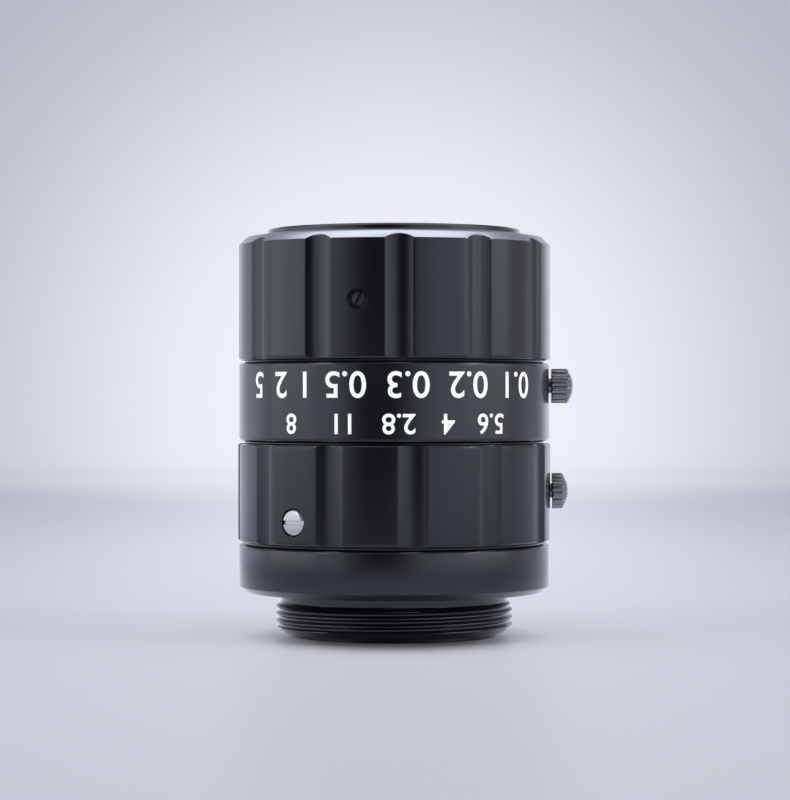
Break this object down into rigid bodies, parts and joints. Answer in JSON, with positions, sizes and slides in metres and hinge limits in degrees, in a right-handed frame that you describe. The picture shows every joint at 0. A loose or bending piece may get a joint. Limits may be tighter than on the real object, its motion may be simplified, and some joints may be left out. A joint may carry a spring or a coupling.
{
  "type": "c-mount machine vision lens",
  "caption": "Fixed focal length machine vision lens with fluted focus and iris rings, thumb lock screws and a C-mount thread at its rear.",
  "frame": {"origin": "where the optical axis crosses the mounting flange", "axes": "+Z along the optical axis, from the camera to the scene; +X towards the two lock screws"},
  "size_m": [0.0359, 0.0334, 0.0434],
  "materials": {
    "black_anodised": "satin",
    "inner_black": "matte",
    "bright_steel": "satin",
    "black_steel": "satin",
    "blade_steel": "matte",
    "white_nylon": "satin",
    "white_marking": "matte",
    "coated_glass": "polished"
  },
  "bodies": {
    "barrel": {"mount_base": "black_anodised", "main_barrel": "black_anodised", "focus_key_pin": "bright_steel"},
    "lens_cell": {"lens_cell": "inner_black", "front_ring": "black_anodised", "front_retainer": "inner_black", "front_element": "coated_glass", "front_spacer": "inner_black", "second_element": "coated_glass", "doublet_spacer": "inner_black", "doublet_front": "coated_glass", "doublet_rear": "coated_glass", "rear_cell": "inner_black", "rear_element_a": "coated_glass", "rear_element_b": "coated_glass", "rear_element_c": "coated_glass", "rear_spacer_a": "inner_black", "rear_spacer_b": "inner_black", "rear_retainer": "inner_black"},
    "focus_ring": {"focus_ring": "black_anodised", "focus_set_screws": "black_steel", "helicoid_sleeve": "inner_black", "sleeve_retainer": "inner_black"},
    "iris_ring": {"iris_ring": "black_anodised", "iris_drive_screw": "bright_steel"},
    "iris_drive": {"iris_drive_ring": "inner_black"},
    "iris_blade_1": {"iris_blade_1": "blade_steel"},
    "iris_blade_2": {"iris_blade_2": "blade_steel"},
    "iris_blade_3": {"iris_blade_3": "blade_steel"},
    "iris_blade_4": {"iris_blade_4": "blade_steel"},
    "iris_blade_5": {"iris_blade_5": "blade_steel"},
    "iris_blade_6": {"iris_blade_6": "blade_steel"},
    "focus_lock_tip": {"focus_lock_tip": "white_nylon"},
    "focus_lock_screw": {"focus_lock_screw": "black_steel"},
    "iris_lock_tip": {"iris_lock_tip": "white_nylon"},
    "iris_lock_screw": {"iris_lock_screw": "black_steel"}
  },
  "joints": [
    {"name": "focus_travel", "type": "slide", "parent": "barrel", "child": "lens_cell", "axis": [0, 0, 1], "range_m": [0, 0.0015]},
    {"name": "focus_turn", "type": "hinge", "parent": "lens_cell", "child": "focus_ring", "pos_m": [0, 0, 0.0322], "axis": [0, 0, 1], "range_deg": [0, 270]},
    {"name": "iris_turn", "type": "hinge", "parent": "barrel", "child": "iris_ring", "pos_m": [0, 0, 0.0106], "axis": [0, 0, 1], "range_deg": [-22, 32]},
    {"name": "iris_drive_turn", "type": "hinge", "parent": "lens_cell", "child": "iris_drive", "pos_m": [0, 0, 0.0094], "axis": [0, 0, 1], "range_deg": [-22, 32]},
    {"name": "iris_blade_1_turn", "type": "hinge", "parent": "lens_cell", "child": "iris_blade_1", "pos_m": [0.0085, 0, 0.0102], "axis": [0, 0, 1], "range_deg": [-11, 16]},
    {"name": "iris_blade_2_turn", "type": "hinge", "parent": "lens_cell", "child": "iris_blade_2", "pos_m": [0.00425, 0.00736, 0.0102], "axis": [0, 0, 1], "range_deg": [-11, 16]},
    {"name": "iris_blade_3_turn", "type": "hinge", "parent": "lens_cell", "child": "iris_blade_3", "pos_m": [-0.00425, 0.00736, 0.0102], "axis": [0, 0, 1], "range_deg": [-11, 16]},
    {"name": "iris_blade_4_turn", "type": "hinge", "parent": "lens_cell", "child": "iris_blade_4", "pos_m": [-0.0085, 0, 0.0102], "axis": [0, 0, 1], "range_deg": [-11, 16]},
    {"name": "iris_blade_5_turn", "type": "hinge", "parent": "lens_cell", "child": "iris_blade_5", "pos_m": [-0.00425, -0.00736, 0.0102], "axis": [0, 0, 1], "range_deg": [-11, 16]},
    {"name": "iris_blade_6_turn", "type": "hinge", "parent": "lens_cell", "child": "iris_blade_6", "pos_m": [0.00425, -0.00736, 0.0102], "axis": [0, 0, 1], "range_deg": [-11, 16]},
    {"name": "focus_lock_travel", "type": "slide", "parent": "barrel", "child": "focus_lock_tip", "axis": [1, 0, 0], "range_m": [0, 0.0004]},
    {"name": "focus_lock_turn", "type": "hinge", "parent": "focus_lock_tip", "child": "focus_lock_screw", "pos_m": [0.0165, 0, 0.022], "axis": [1, 0, 0], "range_deg": [0, 360]},
    {"name": "iris_lock_travel", "type": "slide", "parent": "iris_ring", "child": "iris_lock_tip", "axis": [1, 0, 0], "range_m": [0, 0.0004]},
    {"name": "iris_lock_turn", "type": "hinge", "parent": "iris_lock_tip", "child": "iris_lock_screw", "pos_m": [0.016, 0, 0.01075], "axis": [1, 0, 0], "range_deg": [0, 360]}
  ],
  "couplings": [
    {"joint": "focus_turn", "follows": "focus_travel", "rad_per_m": 3141.6},
    {"joint": "iris_drive_turn", "follows": "iris_turn", "ratio": 1},
    {"joint": "iris_blade_1_turn", "follows": "iris_turn", "ratio": 0.5},
    {"joint": "iris_blade_2_turn", "follows": "iris_turn", "ratio": 0.5},
    {"joint": "iris_blade_3_turn", "follows": "iris_turn", "ratio": 0.5},
    {"joint": "iris_blade_4_turn", "follows": "iris_turn", "ratio": 0.5},
    {"joint": "iris_blade_5_turn", "follows": "iris_turn", "ratio": 0.5},
    {"joint": "iris_blade_6_turn", "follows": "iris_turn", "ratio": 0.5},
    {"joint": "focus_lock_turn", "follows": "focus_lock_travel", "rad_per_m": 15708},
    {"joint": "iris_lock_turn", "follows": "iris_lock_travel", "rad_per_m": 15708}
  ]
}
